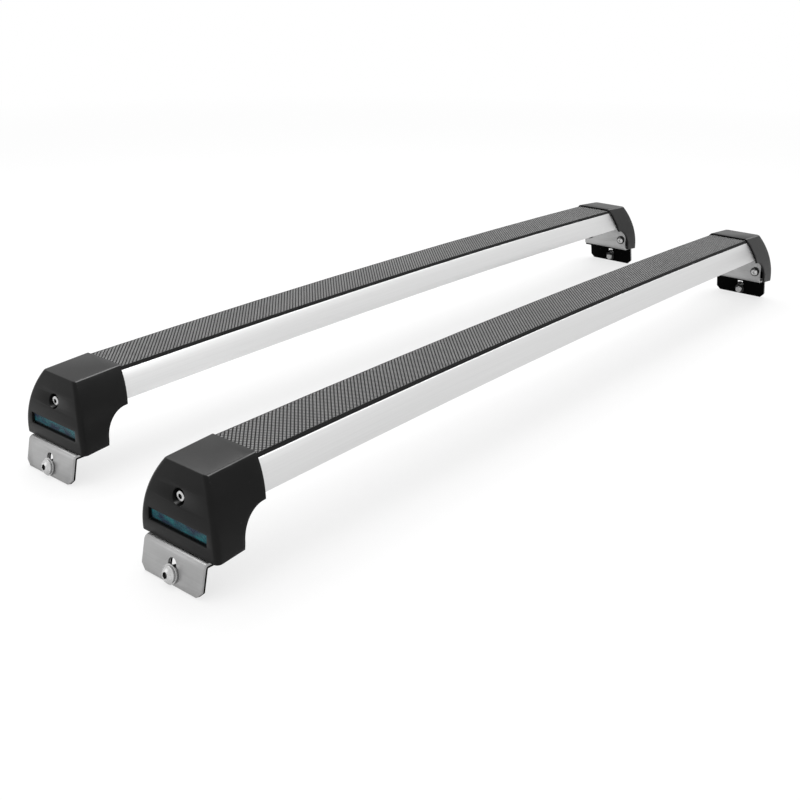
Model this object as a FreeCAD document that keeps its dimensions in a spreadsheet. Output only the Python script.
import FreeCAD, Part
import math
import os
import Sketcher
from FreeCAD import Placement, Rotation, Vector

# Roof rack of two bowed crossbars, each clamped to the car by a foot at both ends.
# Millimetres, Z up, X along the bars, origin on the floor under the middle of the rack.
# A foot is drawn once in its own frame: X inward along the bar from the cover's outer end,
# Y across the bar, Z up from the cover's bottom edge. It is then placed four times.

SIZES = [
    # the two bars
    ("front_span", 1003.6, "front bar over its two end covers"),
    ("rear_span", 992.5, "rear bar over its two end covers"),
    ("bar_spacing", 227.4, "front bar to rear bar"),
    ("rear_shift", 38.7, "rear bar moved along X from the front one"),
    ("bow_radius", 18800.0, "radius of the upward bow at the bar's underside"),
    # extruded bar section
    ("bar_underside", 36.4, "underside of the bar above the cover's bottom edge"),
    ("bar_depth", 22.7, "height of the section"),
    ("bar_base_width", 78.2, "width at the underside"),
    ("bar_side_lean", 12.1, "inward lean of each side over its height"),
    ("side_bulge", 0.7, "outward bulge of each side"),
    ("bar_wall", 2.0, "wall of the extrusion"),
    ("web_wall", 1.8, "inner webs"),
    ("chamber_margin", 5.0, "middle chamber narrower than the bar's top, each side"),
    ("bar_entry", 11.5, "length of bar inside the mouth of a cover"),
    # grip strip
    ("strip_margin", 0.6, "grip strip's base narrower than the bar's top, each side"),
    ("strip_thickness", 2.9, "grip strip"),
    ("strip_bevel", 1.5, "slope of the strip's long edges"),
    ("strip_entry", 4.0, "length of strip inside a cover"),
    ("bond_line", 0.05, "adhesive under the strip"),
    # foot cover
    ("cover_length", 60.3, "outer end to the mouth, along the roof"),
    ("cover_foot_flare", 5.9, "bottom edge wider than the bar's base, each side"),
    ("cover_waist_flare", 1.7, "outer end's waist wider than the bar's base, each side"),
    ("cover_waist", 30.0, "height of the waist"),
    ("cover_crown_inset", 1.35, "outer end's crown narrower than the bar's top, each side"),
    ("cover_crown", 60.0, "height of the crown width"),
    ("mouth_flare", 5.2, "mouth section's bottom wider than the bar's base, each side"),
    ("end_foot_inset", 0.5, "outer face at the bottom edge"),
    ("end_waist_inset", 2.3, "outer face at the waist"),
    ("end_roof_inset", 11.6, "outer face at the roof"),
    ("roof_outer_height", 62.6, "roof at the outer end"),
    ("roof_mouth_height", 65.8, "roof at the mouth"),
    ("mouth_low_inset", 53.0, "mouth's lower corner from the outer end"),
    ("mouth_low_height", 34.0, "mouth's lower corner above the bottom edge"),
    ("mouth_bulge", 0.1, "outward curve of the mouth's edge"),
    ("arch_radius", 24.9, "hollow arch under the mouth"),
    ("arch_foot_lean", 0.5, "lean of the straight edge below the arch"),
    ("rim_rise", 2.8, "rise of the bottom edge toward the arch"),
    ("end_wall", 3.6, "cover's end wall"),
    ("side_wall", 2.5, "cover's side walls"),
    ("roof_wall", 2.2, "cover's roof"),
    ("lip_wall", 1.8, "cover's lip round the bar"),
    ("bar_gap", 0.3, "clearance round the bar and strip in the cover"),
    ("roof_edge_radius", 3.0, "rounding between the roof and the sides"),
    ("end_edge_radius", 5.0, "rounding between the end face and the sides"),
    ("shoulder_radius", 1.5, "rounding between the roof and the end face"),
    ("rib_wall", 1.8, "ribs behind the cover's end wall"),
    # badge insert, left bare
    ("badge_margin", 7.3, "recess in the end face narrower than the waist, each side"),
    ("badge_height", 10.3, "recess in the end face"),
    ("badge_level", 16.7, "middle of the recess above the bottom edge"),
    ("badge_floor_inset", 3.6, "floor of the recess from the outer end"),
    ("badge_thickness", 0.9, "insert"),
    ("badge_gap", 0.3, "clearance round the insert"),
    # cover screw, an M5 cap screw with a low head
    ("cover_screw_level", 40.2, "screw axis above the bottom edge"),
    ("counterbore", 13.6, "sunk hole for the head"),
    ("seat_inset", 10.2, "floor of the sunk hole from the outer end"),
    ("seat_wall", 2.0, "floor thickness"),
    ("cover_screw_dia", 5.0, "shank"),
    ("cover_screw_length", 10.0, "shank"),
    ("cover_head_dia", 8.5, "head"),
    ("cover_head_height", 4.2, "head"),
    ("cover_socket", 4.0, "hexagon socket across flats"),
    ("hole_gap", 0.3, "clearance of a screw in a plain hole, each side"),
    ("thread_gap", 0.05, "clearance of a screw in its thread, each side"),
    # cast support inside the cover
    ("seat_gap", 0.3, "cover's seat to the support"),
    ("support_plate", 3.0, "upright plate"),
    ("support_foot", 2.2, "bottom of the plate above the cover's bottom edge"),
    ("support_margin", 1.8, "plate narrower than the clamp bracket, each side"),
    ("support_shoulder", 28.0, "height where the plate narrows"),
    ("support_top", 50.0, "top of the plate"),
    ("tongue_length", 71.5, "tongue from the plate into the bar"),
    ("tongue_wall", 4.0, "wall of the hollow tongue"),
    ("tongue_gap", 0.3, "clearance of the tongue in the bar"),
    ("gusset_wall", 12.0, "middle gusset under the tongue"),
    ("gusset_reach", 30.0, "gusset along the tongue"),
    ("gusset_gap", 1.5, "gusset above the bracket's upright"),
    ("tongue_screw_dia", 6.0, "screws through the bar's floor"),
    ("tongue_screw_length", 10.0, "shank"),
    ("tongue_screw_inset", 70.0, "from the outer end"),
    ("tongue_screw_margin", 10.0, "screw axis from the side of the chamber"),
    ("tongue_head_dia", 10.5, "button head"),
    ("tongue_head_height", 3.3, "button head"),
    ("tongue_socket", 4.0, "hexagon socket across flats"),
    ("tongue_seat_gap", 0.03, "screw heads clear of the bar's bowed underside"),
    # clamp bracket, folded from stainless sheet
    ("sheet", 2.5, "sheet thickness"),
    ("fold_radius", 2.0, "inside radius of both folds"),
    ("bracket_margin", 6.0, "bracket narrower than the cover's waist, each side"),
    ("bracket_gap", 0.4, "flange below the cover's bottom edge"),
    ("upright_height", 27.5, "top of the upright above the cover's bottom edge"),
    ("upright_corner", 9.5, "rounded top corners"),
    ("plate_lean", 12.5, "outward lean of the clamp plate, degrees"),
    ("plate_drop", 27.5, "plate's lower edge below the cover's bottom edge"),
    ("plate_reach", 9.6, "plate's lower edge beyond the cover's outer end"),
    ("plate_chamfer", 5.0, "lower corners"),
    ("relief_dia", 2.6, "fold relief notches"),
    ("slot_width", 9.0, "slot for the peg bolt"),
    ("slot_length", 17.4, "slot for the peg bolt"),
    ("slot_edge", 3.7, "slot's lower end above the plate's lower edge"),
    ("pad_thickness", 1.6, "rubber pad"),
    ("pad_nose", 1.5, "pad beyond the flange's flat"),
    # clamp screws
    ("clamp_screw_dia", 5.0, "shank"),
    ("clamp_screw_length", 12.0, "shank"),
    ("clamp_screw_margin", 7.8, "screw axis from the bracket's side edge"),
    ("clamp_screw_level", 12.7, "above the cover's bottom edge"),
    ("clamp_head_dia", 9.5, "button head"),
    ("clamp_head_height", 2.75, "button head"),
    ("clamp_socket", 3.0, "hexagon socket across flats"),
    ("clamp_washer_dia", 12.0, "washer"),
    ("clamp_washer_thick", 1.6, "washer"),
    ("clamp_nut_flats", 8.0, "nut across flats"),
    ("clamp_nut_height", 4.7, "nut"),
    # peg bolt that enters the hole in the car's door frame
    ("peg_dia", 8.0, "shank"),
    ("peg_length", 12.0, "shank"),
    ("peg_head_dia", 14.0, "button head"),
    ("peg_head_height", 4.4, "button head"),
    ("peg_socket", 5.0, "hexagon socket across flats"),
    ("peg_washer_dia", 16.4, "washer"),
    ("peg_washer_thick", 1.6, "washer"),
    ("peg_collar_dia", 13.0, "retaining collar"),
    ("peg_collar_thick", 2.0, "retaining collar"),
    ("peg_neck_dia", 7.0, "turned neck that holds the collar"),
    ("peg_neck_gap", 0.1, "neck longer than the collar, each side"),
    ("peg_point", 0.5, "bevel of the free end"),
    ("peg_play", 0.15, "washer and collar clear of the plate and pad, each side"),
    ("peg_rest_gap", 0.3, "shank above the slot's lower end"),
    ("head_gap", 0.1, "bolt head clear of its washer"),
]

# Widths that follow another width and a named margin
FOLLOWING = [
    ("bar_top_width", "bar_base_width - 2 * bar_side_lean"),
    ("strip_width", "bar_top_width - 2 * strip_margin"),
    ("chamber_width", "bar_top_width - 2 * chamber_margin"),
    ("tongue_screw_pitch", "chamber_width - 2 * tongue_screw_margin"),
    ("cover_base_width", "bar_base_width + 2 * cover_foot_flare"),
    ("cover_waist_width", "bar_base_width + 2 * cover_waist_flare"),
    ("cover_crown_width", "bar_top_width - 2 * cover_crown_inset"),
    ("mouth_base_width", "bar_base_width + 2 * mouth_flare"),
    ("badge_width", "cover_waist_width - 2 * badge_margin"),
    ("bracket_width", "cover_waist_width - 2 * bracket_margin"),
    ("support_low_width", "bracket_width - 2 * support_margin"),
    ("clamp_screw_pitch", "bracket_width - 2 * clamp_screw_margin"),
]

doc = FreeCAD.newDocument("roof_rack")
sheet = doc.addObject("Spreadsheet::Sheet", "Sizes")
rows = [(alias, str(value), note) for alias, value, note in SIZES]
rows += [(alias, "=" + rule, rule) for alias, rule in FOLLOWING]
for row, (alias, content, note) in enumerate(rows, start=1):
    sheet.set("A%d" % row, note)
    sheet.set("B%d" % row, content)
    sheet.setAlias("B%d" % row, alias)
doc.recompute()


def size(alias):
    return float(sheet.get(alias))


X_AXIS = Vector(1, 0, 0)
Y_AXIS = Vector(0, 1, 0)
Z_AXIS = Vector(0, 0, 1)
nodes = []


def finish(obj, label, placement):
    obj.Label = label
    obj.Placement = placement
    nodes.append(obj)
    return obj


# Bow of the bar. Heights are measured from the cover's bottom edge at the ends of the span.


def bow_centre_height(span):
    radius = size("bow_radius")
    return size("bar_underside") - math.sqrt(radius ** 2 - (span / 2) ** 2)


def bow_rise(span, inset=None):
    """Rise of the bar at a distance from its outer end, or at its middle."""
    radius = size("bow_radius")
    reach = 0.0 if inset is None else span / 2 - inset
    return math.sqrt(radius ** 2 - reach ** 2) - math.sqrt(radius ** 2 - (span / 2) ** 2)


def bow_angle(span, inset):
    return math.degrees(math.asin((span / 2 - inset) / size("bow_radius")))


foot_span = (size("front_span") + size("rear_span")) / 2
bar_inset = size("cover_length") - size("bar_entry")
strip_inset = size("cover_length") - size("strip_entry")
bar_top = size("bar_underside") + size("bar_depth")


def side_edges(low, high, bulge):
    """Right and left edges of a section, from (half width, height) pairs."""
    middle = ((low[0] + high[0]) / 2 + bulge, (low[1] + high[1]) / 2)
    right = [Vector(0, p[0], p[1]) for p in (low, middle, high)]
    left = [Vector(0, -p[0], p[1]) for p in (high, middle, low)]
    return right, left


def bar_section(gap):
    """Closed outline of the bar, grown by a gap, as a wire in the YZ plane."""
    slope = (size("bar_base_width") - size("bar_top_width")) / 2 / size("bar_depth")
    square = math.sqrt(1 + slope ** 2)
    low = (size("bar_base_width") / 2 + gap * (square + slope), size("bar_underside") - gap)
    high = (size("bar_top_width") / 2 + gap * (square - slope), bar_top + gap)
    right, left = side_edges(low, high, size("side_bulge"))
    return Part.Wire([
        Part.Arc(*right).toShape(),
        Part.LineSegment(right[2], left[0]).toShape(),
        Part.Arc(*left).toShape(),
        Part.LineSegment(left[2], right[0]).toShape(),
    ])


def box_section(half_width, low, high):
    corners = [(half_width, low), (half_width, high), (-half_width, high), (-half_width, low)]
    points = [Vector(0, y, z) for y, z in corners]
    return Part.makePolygon(points + points[:1])


def strip_room_section(gap):
    """Outline of the strip's room in the cover, with the strip's own bevel."""
    base = size("strip_width") / 2 + gap
    crest = base - size("strip_bevel")
    high = bar_top + size("strip_thickness") + gap
    corners = [(base, bar_top), (crest, high), (-crest, high), (-base, bar_top)]
    points = [Vector(0, y, z) for y, z in corners]
    return Part.makePolygon(points + points[:1])


def bowed(section, start, stop):
    """Sweep a section along the bow between two distances from the outer end."""
    centre = Vector(foot_span / 2, 0, bow_centre_height(foot_span))
    face = Part.Face(section)
    face.translate(Vector(foot_span / 2, 0, bow_rise(foot_span)))
    first = bow_angle(foot_span, start)
    last = bow_angle(foot_span, stop)
    face.rotate(centre, Y_AXIS, -first)
    return face.revolve(centre, Y_AXIS, first - last)


# Sketch helpers


def plane_of(body, role):
    return [f for f in body.Origin.OriginFeatures if f.Role == role][0]


def new_sketch(body, name, role, offset=None):
    sketch = body.newObject("Sketcher::SketchObject", name)
    sketch.AttachmentSupport = [(plane_of(body, role), "")]
    sketch.MapMode = "FlatFace"
    if offset is not None:
        sketch.AttachmentOffset = offset
    return sketch


def draw_loop(sketch, pieces):
    """Add a closed chain of two-point lines and three-point arcs, and tie its ends."""
    ids = []
    for piece in pieces:
        points = [Vector(p[0], p[1], 0) for p in piece]
        curve = Part.LineSegment(*points) if len(points) == 2 else Part.Arc(*points)
        ids.append(sketch.addGeometry(curve, False))
    for this, other in zip(ids, ids[1:] + ids[:1]):
        for mine in (1, 2):
            for theirs in (1, 2):
                gap = sketch.getPoint(this, mine) - sketch.getPoint(other, theirs)
                if gap.Length < 1e-4:
                    sketch.addConstraint(Sketcher.Constraint("Coincident", this, mine, other, theirs))
    return ids


def polygon(points):
    return list(zip(points, points[1:] + points[:1]))


def add_circle(sketch, x, y, radius_rule):
    index = sketch.addGeometry(Part.Circle(Vector(x, y, 0), Z_AXIS, 1.0), False)
    number = sketch.addConstraint(Sketcher.Constraint("Radius", index, 1.0))
    sketch.setExpression("Constraints[%d]" % number, radius_rule)


# Crossbars and grip strips


def revolve_along_bow(body, sketch, span, end_rule):
    """Revolve a section both ways about the far centre of the bow."""
    height = bow_centre_height(span)
    axis = Part.LineSegment(Vector(-50, height, 0), Vector(50, height, 0))
    sketch.addGeometry(axis, True)
    sweep = body.newObject("PartDesign::Revolution", body.Name + "_bow")
    sweep.Profile = sketch
    sweep.ReferenceAxis = (sketch, ["Axis0"])
    sweep.Midplane = True
    sweep.setExpression("Angle", "2 * asin((%s) / Sizes.bow_radius)" % end_rule)
    doc.recompute()
    return sweep


def crossbar(name, span_alias):
    span = size(span_alias)
    rise = bow_rise(span)
    low = size("bar_underside") + rise
    high = bar_top + rise
    wall = size("bar_wall")
    base = size("bar_base_width") / 2
    top = size("bar_top_width") / 2
    bulge = size("side_bulge")
    body = doc.addObject("PartDesign::Body", name)
    sketch = new_sketch(body, name + "_section", "YZ_Plane")
    right, left = side_edges((base, low), (top, high), bulge)
    right = [(p.y, p.z) for p in right]
    left = [(p.y, p.z) for p in left]
    draw_loop(sketch, [right, (right[2], left[0]), left, (left[2], right[0])])
    # three chambers: the middle one takes the tongue of each foot
    half = size("chamber_width") / 2
    floor = low + wall
    ceiling = high - wall
    middle = [(half, floor), (half, ceiling), (-half, ceiling), (-half, floor)]
    draw_loop(sketch, polygon(middle))
    slope = (base - top) / (high - low)
    thick = wall * math.sqrt(1 + slope ** 2)
    inner = half + size("web_wall")
    low_out = base - thick - slope * wall
    high_out = top - thick + slope * wall
    for sign in (1, -1):
        chamber = [(sign * inner, floor), (sign * low_out, floor)]
        if high_out > inner:
            chamber += [(sign * high_out, ceiling), (sign * inner, ceiling)]
        else:
            chamber += [(sign * inner, floor + (low_out - inner) / slope)]
        draw_loop(sketch, polygon(chamber))
    end_rule = "Sizes.%s / 2 - Sizes.cover_length + Sizes.bar_entry" % span_alias
    revolve_along_bow(body, sketch, span, end_rule)
    # clearance holes in the floor for the two screws of each tongue
    hole_level = size("bar_underside") + bow_rise(span, size("tongue_screw_inset")) + 2 * wall
    plane = Placement(Vector(0, 0, hole_level), Rotation())
    holes = new_sketch(body, name + "_holes", "XY_Plane", plane)
    reach = span / 2 - size("tongue_screw_inset")
    for x in (-reach, reach):
        for y in (-size("tongue_screw_pitch") / 2, size("tongue_screw_pitch") / 2):
            add_circle(holes, x, y, "Sizes.tongue_screw_dia / 2 + Sizes.hole_gap")
    cut = body.newObject("PartDesign::Pocket", name + "_screw_holes")
    cut.Profile = holes
    cut.setExpression("Length", "4 * Sizes.bar_wall")
    doc.recompute()
    return body


def grip_strip(name, span_alias):
    span = size(span_alias)
    rise = bow_rise(span)
    base = size("strip_width") / 2
    low = bar_top + size("bond_line") + rise
    high = bar_top + size("strip_thickness") + rise
    crest = base - size("strip_bevel")
    body = doc.addObject("PartDesign::Body", name)
    sketch = new_sketch(body, name + "_section", "YZ_Plane")
    draw_loop(sketch, polygon([(base, low), (crest, high), (-crest, high), (-base, low)]))
    end_rule = "Sizes.%s / 2 - Sizes.cover_length + Sizes.strip_entry" % span_alias
    revolve_along_bow(body, sketch, span, end_rule)
    return body


# Foot cover: two lofts meet an end-view outline, then the edges are rounded and the shell cut

roof_slope = (size("roof_mouth_height") - size("roof_outer_height")) / (
    size("cover_length") - size("end_roof_inset"))
lip_step = size("bar_gap") + size("lip_wall")
support_front = size("seat_inset") + size("seat_wall") + size("seat_gap")
support_back = support_front + size("support_plate")


def cover_profile(inset, shrink):
    """Three (half width, height) points of the cover's side at a distance from the outer end."""
    mouth_rise = bow_rise(foot_span, size("mouth_low_inset"))
    outer = [
        (size("cover_base_width") / 2, 0.0),
        (size("cover_waist_width") / 2, size("cover_waist")),
        (size("cover_crown_width") / 2, size("cover_crown")),
    ]
    mouth = [
        (size("mouth_base_width") / 2, 0.0),
        (size("bar_base_width") / 2 + lip_step, size("bar_underside") + mouth_rise),
        (size("bar_top_width") / 2 + lip_step, bar_top + mouth_rise),
    ]
    share = (inset - size("end_waist_inset")) / (size("cover_length") - size("end_waist_inset"))
    return [
        (a[0] + share * (b[0] - a[0]) - shrink, a[1] + share * (b[1] - a[1]))
        for a, b in zip(outer, mouth)
    ]


def cover_section(inset, shrink, low, high):
    """Closed section wire of the cover between two heights."""
    points = [Vector(0, p[0], p[1]) for p in cover_profile(inset, shrink)]
    circle = Part.Arc(*points).toShape().Curve
    centre, radius = circle.Center, circle.Radius

    def half_at(height):
        return centre.y + math.sqrt(radius ** 2 - (height - centre.z) ** 2)

    heights = (low, (low + high) / 2, high)
    right = [Vector(inset, half_at(level), level) for level in heights]
    left = [Vector(inset, -p.y, p.z) for p in reversed(right)]
    return Part.Wire([
        Part.Arc(*right).toShape(),
        Part.LineSegment(right[2], left[0]).toShape(),
        Part.Arc(*left).toShape(),
        Part.LineSegment(left[2], right[0]).toShape(),
    ])


def cover_loft(shrink, low, high):
    outer = cover_section(-4.0, shrink, low, high)
    mouth = cover_section(size("cover_length") + 4.0, shrink, low, high)
    return Part.makeLoft([outer, mouth], True, True)


def side_view(edges, half_width):
    """Extrude a side-view outline, given as two- and three-point edges, across the foot."""
    curves = []
    for points in edges:
        ends = [Vector(p[0], -half_width, p[1]) for p in points]
        curve = Part.LineSegment(*ends) if len(ends) == 2 else Part.Arc(*ends)
        curves.append(curve.toShape())
    return Part.Face(Part.Wire(curves)).extrude(Vector(0, 2 * half_width, 0))


def roof_height(inset):
    return size("roof_outer_height") + roof_slope * (inset - size("end_roof_inset"))


def cover_outline():
    foot = (size("end_foot_inset"), 0.0)
    waist = (size("end_waist_inset"), size("cover_waist"))
    shoulder = (size("end_roof_inset"), size("roof_outer_height"))
    crest = (size("cover_length"), size("roof_mouth_height"))
    corner = (size("mouth_low_inset"), size("mouth_low_height"))
    middle = ((crest[0] + corner[0]) / 2 + size("mouth_bulge"), (crest[1] + corner[1]) / 2)
    radius = size("arch_radius")
    arch_centre = (corner[0], corner[1] - radius)
    arch_middle = (
        arch_centre[0] - radius * math.sqrt(0.5), arch_centre[1] + radius * math.sqrt(0.5))
    arch_foot = (arch_centre[0] - radius, arch_centre[1])
    heel = (arch_foot[0] - size("arch_foot_lean"), size("rim_rise"))
    return [
        (foot, waist, shoulder), (shoulder, crest), (crest, middle, corner),
        (corner, arch_middle, arch_foot), (arch_foot, heel), (heel, foot),
    ]


def cavity_outline():
    wall = size("end_wall")
    far = size("cover_length") + 15.0
    below = -4.0
    foot = (size("end_foot_inset") + wall, 0.0)
    waist = (size("end_waist_inset") + wall, size("cover_waist"))
    inset = size("end_roof_inset") + wall - 0.5
    shoulder = (inset, roof_height(inset) - size("roof_wall"))
    mouth = (far, roof_height(far) - size("roof_wall"))
    return [
        ((foot[0], below), foot), (foot, waist, shoulder), (shoulder, mouth),
        (mouth, (far, below)), ((far, below), (foot[0], below)),
    ]


def edge_rounding(edge):
    """Radius of a long outer edge: roof to sides, roof to end face, end face to sides."""
    first, last = edge.ParameterRange
    middle = edge.valueAt((first + last) / 2)
    on_roof = abs(middle.z - roof_height(middle.x)) < 0.2
    if on_roof and abs(middle.y) > 15 and edge.Length > 25:
        return size("roof_edge_radius")
    if on_roof and abs(middle.y) < 1 and middle.x < 20:
        return size("shoulder_radius")
    if edge.Length > 50 and abs(middle.y) > 30 and middle.x < 10 and middle.z > 5:
        return size("end_edge_radius")
    return None


def rounded_outside(solid):
    blank = doc.addObject("Part::Feature", "cover_blank")
    blank.Shape = solid
    rounding = doc.addObject("Part::Fillet", "cover_rounding")
    rounding.Base = blank
    radii = [(number, edge_rounding(edge)) for number, edge in enumerate(solid.Edges, start=1)]
    rounding.Edges = [(number, radius, radius) for number, radius in radii if radius]
    doc.recompute()
    return rounding.Shape


def foot_cover_shape():
    level = size("cover_screw_level")
    top = size("roof_mouth_height") + 4.0
    solid = cover_loft(0.0, -4.0, top).common(side_view(cover_outline(), 60.0))
    solid = rounded_outside(solid)
    cavity = cover_loft(size("side_wall"), -4.0, top).common(side_view(cavity_outline(), 60.0))
    shell = solid.cut(cavity)
    # sunk screw seat, carried by a cross of ribs behind the end wall
    depth = size("seat_inset") + size("seat_wall")
    rib = size("rib_wall")
    seat = Part.makeCylinder(
        size("counterbore") / 2 + rib, depth, Vector(0, 0, level), X_AXIS)
    flat_rib = Part.makeBox(depth, 80.0, rib, Vector(0, -40.0, level - rib / 2))
    tall_rib = Part.makeBox(depth, rib, 40.0, Vector(0, -rib / 2, level))
    shell = shell.fuse([part.common(solid) for part in (seat, flat_rib, tall_rib)])
    sink = Part.makeCylinder(
        size("counterbore") / 2, size("seat_inset") + 5.0, Vector(-5.0, 0, level), X_AXIS)
    bore = Part.makeCylinder(
        size("cover_screw_dia") / 2 + size("hole_gap"), depth + 5.0, Vector(0, 0, level), X_AXIS)
    recess = Part.makeBox(
        size("badge_floor_inset") + 5.0, size("badge_width"), size("badge_height"),
        Vector(-5.0, -size("badge_width") / 2, size("badge_level") - size("badge_height") / 2))
    far = size("cover_length") + 10.0
    gap = size("bar_gap")
    bar_room = bowed(bar_section(gap), bar_inset - gap, far)
    strip_room = bowed(strip_room_section(gap), strip_inset - gap, far)
    return shell.cut([sink, bore, recess, bar_room, strip_room]).removeSplitter()


def end_support_shape():
    """Upright plate, hollow tongue that enters the bar, and a gusset between them."""
    gap = size("tongue_gap")
    half = size("chamber_width") / 2 - gap
    low = size("bar_underside") + size("bar_wall") + gap
    high = bar_top - size("bar_wall") - gap
    wall = size("tongue_wall")
    tip = support_back + size("tongue_length")
    tongue = bowed(box_section(half, low, high), support_back - 0.2, tip)
    hollow = bowed(
        box_section(half - wall, low + wall, high - wall), support_back + wall, tip + 1.0)
    low_half = size("support_low_width") / 2
    shoulder = size("support_shoulder")
    outline = [
        (low_half, size("support_foot")), (low_half, shoulder), (half, size("support_top")),
        (-half, size("support_top")), (-low_half, shoulder), (-low_half, size("support_foot")),
    ]
    points = [Vector(support_front, y, z) for y, z in outline]
    plate = Part.Face(Part.makePolygon(points + points[:1]))
    plate = plate.extrude(Vector(size("support_plate"), 0, 0))
    start = size("upright_height") + size("gusset_gap")
    web = size("gusset_wall") / 2
    rise = bow_rise(foot_span, support_back + size("gusset_reach"))
    corners = [
        (support_front, start), (support_back, start),
        (support_back + size("gusset_reach"), low + rise + 0.5), (support_front, low + 1.0),
    ]
    points = [Vector(x, -web, z) for x, z in corners]
    gusset = Part.Face(Part.makePolygon(points + points[:1])).extrude(Vector(0, 2 * web, 0))
    support = plate.fuse([tongue, gusset]).cut(hollow)
    holes = [Part.makeCylinder(
        size("cover_screw_dia") / 2 + size("thread_gap"), size("cover_screw_length"),
        Vector(support_front - 1.0, 0, size("cover_screw_level")), X_AXIS)]
    for side in (-1, 1):
        across = side * size("clamp_screw_pitch") / 2
        holes.append(Part.makeCylinder(
            size("clamp_screw_dia") / 2 + size("hole_gap"), size("support_plate") + 2.0,
            Vector(support_front - 1.0, across, size("clamp_screw_level")), X_AXIS))
        hole = Part.makeCylinder(
            size("tongue_screw_dia") / 2 + size("thread_gap"), size("tongue_screw_length") + 1.0)
        hole.Placement = tongue_screw_place(side)
        holes.append(hole)
    return support.cut(holes).removeSplitter()


def tongue_screw_place(side):
    """Head seat of a tongue screw on the bar's underside, square to the bow."""
    inset = size("tongue_screw_inset")
    height = size("bar_underside") + bow_rise(foot_span, inset) - size("tongue_seat_gap")
    across = side * size("tongue_screw_pitch") / 2
    return Placement(
        Vector(inset, across, height), Rotation(Y_AXIS, -bow_angle(foot_span, inset)))


# Clamp bracket and pad: corner points of the folded sheet, seen from the side

lean = math.radians(size("plate_lean"))
plate_down = Vector(-math.sin(lean), 0, -math.cos(lean))
plate_in = Vector(math.cos(lean), 0, -math.sin(lean))
sheet_thick = size("sheet")
fold_in = size("fold_radius")
fold_out = fold_in + sheet_thick
flange_top = -size("bracket_gap")
upright_face = support_back + sheet_thick
plate_edge = Vector(-size("plate_reach"), 0, -size("plate_drop"))
lower_fold_z = flange_top - fold_out
fold_run = (plate_edge.z - (lower_fold_z - fold_out * plate_in.z)) / plate_down.z
lower_fold = Vector(
    plate_edge.x - fold_run * plate_down.x + fold_out * plate_in.x, 0, lower_fold_z)
upper_fold = Vector(upright_face - fold_out, 0, flange_top + fold_in)


def at(point):
    return (point.x, point.z)


def fold_arc(centre, radius, start, stop):
    """Three points of an arc about a fold, from angles in degrees."""
    angles = [math.radians(a) for a in (start, (start + stop) / 2, stop)]
    return [(centre.x + radius * math.cos(a), centre.z + radius * math.sin(a)) for a in angles]


def bracket_outline():
    turn = 180.0 - size("plate_lean")
    inner_edge = plate_edge + plate_in * sheet_thick
    upright_top = size("upright_height")
    outer_low = fold_arc(lower_fold, fold_out, turn, 90.0)
    outer_high = fold_arc(upper_fold, fold_in, -90.0, 0.0)
    inner_high = fold_arc(upper_fold, fold_out, 0.0, -90.0)
    inner_low = fold_arc(lower_fold, fold_in, 90.0, turn)
    back = support_back
    return [
        (at(plate_edge), outer_low[0]), outer_low, (outer_low[2], outer_high[0]), outer_high,
        (outer_high[2], (back, upright_top)), ((back, upright_top), (upright_face, upright_top)),
        ((upright_face, upright_top), inner_high[0]), inner_high,
        (inner_high[2], inner_low[0]), inner_low, (inner_low[2], at(inner_edge)),
        (at(inner_edge), at(plate_edge)),
    ]


def pad_outline():
    turn = 180.0 - size("plate_lean")
    thick = size("pad_thickness")
    steel_edge = plate_edge + plate_in * sheet_thick
    free_edge = steel_edge + plate_in * thick
    steel = fold_arc(lower_fold, fold_in, turn, 90.0)
    free = fold_arc(lower_fold, fold_in - thick, 90.0, turn)
    nose = upper_fold.x + size("pad_nose")
    return [
        (at(steel_edge), steel[0]), steel, (steel[2], (nose, steel[2][1])),
        ((nose, steel[2][1]), (nose, free[0][1])), ((nose, free[0][1]), free[0]), free,
        (free[2], at(free_edge)), (at(free_edge), at(steel_edge)),
    ]


def plate_plane(run):
    """Sketch offset on the YZ plane that puts it on the clamp plate, run up from its edge."""
    origin = plate_edge - plate_down * run
    # sketch axes: x is Y, y is Z, z is X
    return Placement(Vector(0, origin.z, origin.x), Rotation(X_AXIS, size("plate_lean")))


def folded_body(name, outline, thickness_alias):
    """Pad a side-view outline across the foot, then cut the slot and the lower corners."""
    body = doc.addObject("PartDesign::Body", name)
    sketch = new_sketch(body, name + "_profile", "XZ_Plane")
    draw_loop(sketch, outline)
    sheet_pad = body.newObject("PartDesign::Pad", name + "_sheet")
    sheet_pad.Profile = sketch
    sheet_pad.SideType = "Symmetric"
    sheet_pad.setExpression("Length", "Sizes.bracket_width")
    doc.recompute()
    slot = new_sketch(body, name + "_slot", "YZ_Plane", plate_plane(0.0))
    radius = size("slot_width") / 2
    low = size("slot_edge") + radius
    high = size("slot_edge") + size("slot_length") - radius
    draw_loop(slot, [
        ((radius, low), (radius, high)), ((radius, high), (0, high + radius), (-radius, high)),
        ((-radius, high), (-radius, low)), ((-radius, low), (0, low - radius), (radius, low)),
    ])
    half = size("bracket_width") / 2
    bevel = size("plate_chamfer")
    for side in (-1, 1):
        corner = [(side * (half + 1), -1.0), (side * (half + 1), bevel + 1.0),
                  (side * (half - bevel - 1), -1.0)]
        draw_loop(slot, polygon(corner))
    cut = body.newObject("PartDesign::Pocket", name + "_slot_cut")
    cut.Profile = slot
    cut.SideType = "Symmetric"
    cut.setExpression("Length", "4 * (Sizes.sheet + Sizes.%s)" % thickness_alias)
    doc.recompute()
    return body


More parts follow.
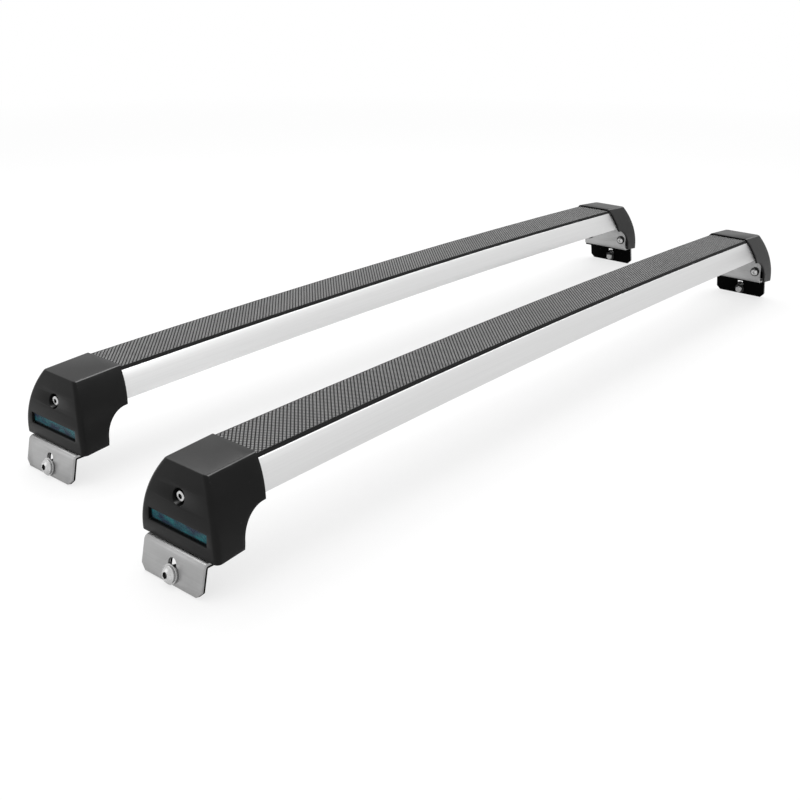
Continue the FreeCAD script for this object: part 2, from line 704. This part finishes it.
def clamp_bracket(name):
    body = folded_body(name, bracket_outline(), "sheet")
    holes = new_sketch(body, name + "_holes", "YZ_Plane", Placement(
        Vector(0, 0, support_back + sheet_thick / 2), Rotation()))
    for side in (-1, 1):
        add_circle(holes, side * size("clamp_screw_pitch") / 2, size("clamp_screw_level"),
                   "Sizes.clamp_screw_dia / 2 + Sizes.hole_gap")
    cut = body.newObject("PartDesign::Pocket", name + "_hole_cut")
    cut.Profile = holes
    cut.SideType = "Symmetric"
    cut.setExpression("Length", "2 * Sizes.sheet")
    doc.recompute()
    notches = new_sketch(body, name + "_relief", "XY_Plane", Placement(
        Vector(0, 0, flange_top - sheet_thick / 2), Rotation()))
    for side in (-1, 1):
        add_circle(notches, upper_fold.x - 0.5, side * size("bracket_width") / 2,
                   "Sizes.relief_dia / 2")
    cut = body.newObject("PartDesign::Pocket", name + "_relief_cut")
    cut.Profile = notches
    cut.SideType = "Symmetric"
    cut.setExpression("Length", "2 * Sizes.sheet")
    doc.recompute()
    edges = []
    for number, edge in enumerate(body.Shape.Edges, start=1):
        middle = edge.CenterOfMass
        corner = abs(abs(middle.y) - size("bracket_width") / 2) < 0.01
        if corner and abs(middle.z - size("upright_height")) < 0.01:
            edges.append("Edge%d" % number)
    rounding = body.newObject("PartDesign::Fillet", name + "_corners")
    rounding.Base = (cut, edges)
    rounding.setExpression("Radius", "Sizes.upright_corner")
    doc.recompute()
    return body


def clamp_pad(name):
    return folded_body(name, pad_outline(), "pad_thickness")


# Fasteners from primitives, each along Z with its head's seat at the origin, shank upward


def cylinder(name, radius_rule, height_rule, base_rule="0"):
    obj = doc.addObject("Part::Cylinder", name)
    obj.setExpression("Radius", radius_rule)
    obj.setExpression("Height", height_rule)
    obj.setExpression("Placement.Base.z", base_rule)
    return obj


def hexagon(name, flats_rule, height_rule, base_rule="0"):
    obj = doc.addObject("Part::Prism", name)
    obj.Polygon = 6
    obj.setExpression("Circumradius", "(%s) / sqrt(3)" % flats_rule)
    obj.setExpression("Height", height_rule)
    obj.setExpression("Placement.Base.z", base_rule)
    return obj


def cut_of(name, base, tool):
    obj = doc.addObject("Part::Cut", name)
    obj.Base = base
    obj.Tool = tool
    return obj


def washer(name, outer, hole_rule, thick):
    disc = cylinder(name + "_disc", "Sizes.%s / 2" % outer, "Sizes.%s" % thick)
    hole = cylinder(name + "_hole", hole_rule, "Sizes.%s + 2" % thick, "-1")
    return cut_of(name, disc, hole)


def necked(name, bolt):
    """Turn the neck for the retaining collar and bevel the free end."""
    start = ("Sizes.head_gap + Sizes.peg_washer_thick + 2 * Sizes.peg_play + Sizes.sheet"
             " + Sizes.pad_thickness - Sizes.peg_neck_gap")
    length = "Sizes.peg_collar_thick + 2 * Sizes.peg_neck_gap"
    sleeve = cylinder(name + "_sleeve", "Sizes.peg_dia / 2 + 1", length, start)
    core = cylinder(name + "_core", "Sizes.peg_neck_dia / 2", length, start)
    turned = cut_of(name + "_turned", bolt, cut_of(name + "_ring", sleeve, core))
    block = cylinder(name + "_block", "Sizes.peg_dia / 2 + 1", "Sizes.peg_point + 1",
                     "Sizes.peg_length - Sizes.peg_point")
    bevel = doc.addObject("Part::Cone", name + "_bevel")
    bevel.setExpression("Radius1", "Sizes.peg_dia / 2")
    bevel.setExpression("Radius2", "Sizes.peg_dia / 2 - Sizes.peg_point")
    bevel.setExpression("Height", "Sizes.peg_point")
    bevel.setExpression("Placement.Base.z", "Sizes.peg_length - Sizes.peg_point")
    return cut_of(name, turned, cut_of(name + "_tip", block, bevel))


def screw(name, head, height, socket, shank, length, domed):
    """Socket screw; a domed head is a cylinder cut by a sphere."""
    head_body = cylinder(name + "_head", "Sizes.%s / 2" % head, "Sizes.%s" % height,
                         "-Sizes.%s" % height)
    if domed:
        dome = doc.addObject("Part::Sphere", name + "_dome")
        crown = "(0.7 * Sizes.%s)" % height
        radius = "((Sizes.%s / 2)^2 + %s^2) / (2 * %s)" % (head, crown, crown)
        dome.setExpression("Radius", radius)
        dome.setExpression("Placement.Base.z", "%s - Sizes.%s" % (radius, height))
        trimmed = doc.addObject("Part::Common", name + "_button")
        trimmed.Base = head_body
        trimmed.Tool = dome
        head_body = trimmed
    stem = cylinder(name + "_shank", "Sizes.%s / 2" % shank, "Sizes.%s" % length)
    whole = doc.addObject("Part::Fuse", name + "_blank")
    whole.Base = head_body
    whole.Tool = stem
    key = hexagon(name + "_key", "Sizes.%s" % socket, "0.55 * Sizes.%s + 1" % height,
                  "-Sizes.%s - 1" % height)
    return cut_of(name, whole, key)


def instance(name, master, placement):
    """The same shape again at another place, kept tied to its master."""
    obj = doc.addObject("Part::Compound", name)
    obj.Links = [master]
    obj.Placement = placement
    return obj


def group(name, members):
    obj = doc.addObject("Part::Compound", name)
    obj.Links = members
    return obj


def feature(name, shape):
    obj = doc.addObject("Part::Feature", name)
    obj.Shape = shape
    return obj


TOWARD_INSIDE = Rotation(Y_AXIS, 90)
TOWARD_OUTSIDE = Rotation(Y_AXIS, -90)
ALONG_PEG = Rotation(Y_AXIS, 90 + size("plate_lean"))


def pair(name, master, inset, rotation):
    members = []
    for side, tag in ((-1, "_a"), (1, "_b")):
        spot = Vector(inset, side * size("clamp_screw_pitch") / 2, size("clamp_screw_level"))
        members.append(instance(name + tag, master, Placement(spot, rotation)))
    return group(name, members)


def peg_point(depth):
    """Point on the peg's axis at rest, at a depth inward from the clamp plate's outer face."""
    slot_radius = size("slot_width") / 2
    play = slot_radius - size("peg_dia") / 2
    run = size("slot_edge") + slot_radius - play + size("peg_rest_gap")
    return plate_edge - plate_down * run + plate_in * depth


def foot_masters():
    """One of each foot piece in the foot's own frame, by name."""
    masters = {"cover": feature("cover_master", foot_cover_shape())}
    badge = doc.addObject("Part::Box", "badge_master")
    badge.setExpression("Length", "Sizes.badge_thickness")
    badge.setExpression("Width", "Sizes.badge_width - 2 * Sizes.badge_gap")
    badge.setExpression("Height", "Sizes.badge_height - 2 * Sizes.badge_gap")
    badge.setExpression("Placement.Base.x", "Sizes.badge_floor_inset - Sizes.badge_thickness")
    badge.setExpression("Placement.Base.y", "Sizes.badge_gap - Sizes.badge_width / 2")
    badge.setExpression(
        "Placement.Base.z", "Sizes.badge_level - Sizes.badge_height / 2 + Sizes.badge_gap")
    masters["badge_insert"] = badge
    cover_screw = screw("cover_screw_blank", "cover_head_dia", "cover_head_height",
                        "cover_socket", "cover_screw_dia", "cover_screw_length", False)
    masters["cover_screw"] = instance("cover_screw_master", cover_screw, Placement(
        Vector(size("seat_inset"), 0, size("cover_screw_level")), TOWARD_INSIDE))
    masters["end_support"] = feature("support_master", end_support_shape())
    tongue_screw = screw("tongue_screw_blank", "tongue_head_dia", "tongue_head_height",
                         "tongue_socket", "tongue_screw_dia", "tongue_screw_length", True)
    masters["support_screws"] = group("support_screws_master", [
        instance("tongue_screw_a", tongue_screw, tongue_screw_place(-1)),
        instance("tongue_screw_b", tongue_screw, tongue_screw_place(1))])
    masters["clamp_bracket"] = clamp_bracket("bracket_master")
    masters["clamp_pad"] = clamp_pad("pad_master")
    clamp_screw = screw("clamp_screw_blank", "clamp_head_dia", "clamp_head_height",
                        "clamp_socket", "clamp_screw_dia", "clamp_screw_length", True)
    seat = upright_face + size("clamp_washer_thick")
    masters["clamp_screws"] = pair("clamp_screws_master", clamp_screw, seat, TOWARD_OUTSIDE)
    clamp_washer = washer("clamp_washer_blank", "clamp_washer_dia",
                          "Sizes.clamp_screw_dia / 2 + Sizes.hole_gap", "clamp_washer_thick")
    masters["clamp_washers"] = pair(
        "clamp_washers_master", clamp_washer, upright_face, TOWARD_INSIDE)
    nut_body = hexagon("clamp_nut_body", "Sizes.clamp_nut_flats", "Sizes.clamp_nut_height")
    nut_hole = cylinder("clamp_nut_hole", "Sizes.clamp_screw_dia / 2 + Sizes.thread_gap",
                        "Sizes.clamp_nut_height + 2", "-1")
    nut = cut_of("clamp_nut_blank", nut_body, nut_hole)
    masters["clamp_nuts"] = pair("clamp_nuts_master", nut, support_front, TOWARD_OUTSIDE)
    # peg bolt through the slot, with a washer outside and a collar inside
    play = size("peg_play")
    washer_seat = -play - size("peg_washer_thick")
    collar_seat = sheet_thick + size("pad_thickness") + play
    peg_washer = washer("peg_washer_blank", "peg_washer_dia",
                        "Sizes.peg_dia / 2 + Sizes.hole_gap", "peg_washer_thick")
    masters["peg_washer"] = instance(
        "peg_washer_master", peg_washer, Placement(peg_point(washer_seat), ALONG_PEG))
    peg_collar = washer("peg_collar_blank", "peg_collar_dia",
                        "Sizes.peg_neck_dia / 2 + Sizes.thread_gap", "peg_collar_thick")
    masters["peg_collar"] = instance(
        "peg_collar_master", peg_collar, Placement(peg_point(collar_seat), ALONG_PEG))
    peg = screw("peg_bolt_blank", "peg_head_dia", "peg_head_height", "peg_socket",
                "peg_dia", "peg_length", True)
    peg = necked("peg_bolt_necked", peg)
    masters["peg_bolt"] = instance("peg_bolt_master", peg, Placement(
        peg_point(washer_seat - size("head_gap")), ALONG_PEG))
    return masters


# The rack stands on the lower inner edges of the four rubber pads

pad_low = plate_edge + plate_in * (sheet_thick + size("pad_thickness"))
stand_height = -pad_low.z
spread = (size("front_span") - size("rear_span")) / 2
bar_places = {
    "front": ("front_span", (spread - size("rear_shift")) / 2, -size("bar_spacing") / 2),
    "rear": ("rear_span", (spread + size("rear_shift")) / 2, size("bar_spacing") / 2),
}
masters = foot_masters()
doc.recompute()
for row_name, (span_alias, x, y) in bar_places.items():
    place = Placement(Vector(x, y, stand_height), Rotation())
    bar = crossbar(row_name + "_crossbar_body", span_alias)
    finish(bar, row_name + "_crossbar", place)
    strip = grip_strip(row_name + "_strip_body", span_alias)
    finish(strip, row_name + "_grip_strip", place)
    for side_name, side in (("left", -1), ("right", 1)):
        end = Vector(x + side * size(span_alias) / 2, y, stand_height)
        turn = Rotation(Z_AXIS, 0 if side < 0 else 180)
        for piece, master in masters.items():
            label = "%s_%s_%s" % (row_name, side_name, piece)
            obj = doc.addObject("Part::Compound", label + "_node")
            obj.Links = [master]
            finish(obj, label, Placement(end, turn))
doc.recompute()

# Checks, then one file for each piece

for obj in doc.Objects:
    if "Invalid" in obj.State or "Error" in obj.State:
        raise RuntimeError("%s failed: %s" % (obj.Name, obj.State))
os.makedirs("parts", exist_ok=True)
for obj in nodes:
    if obj.Shape.isNull() or not obj.Shape.isValid() or not obj.Shape.Solids:
        raise RuntimeError("%s has no valid solid" % obj.Label)
for obj in nodes:
    obj.Shape.exportStep("parts/%s.step" % obj.Label)
whole = Part.makeCompound([obj.Shape for obj in nodes]).BoundBox
print("nodes", len(nodes), "box", [round(v, 2) for v in (
    whole.XMin, whole.YMin, whole.ZMin, whole.XMax, whole.YMax, whole.ZMax)])
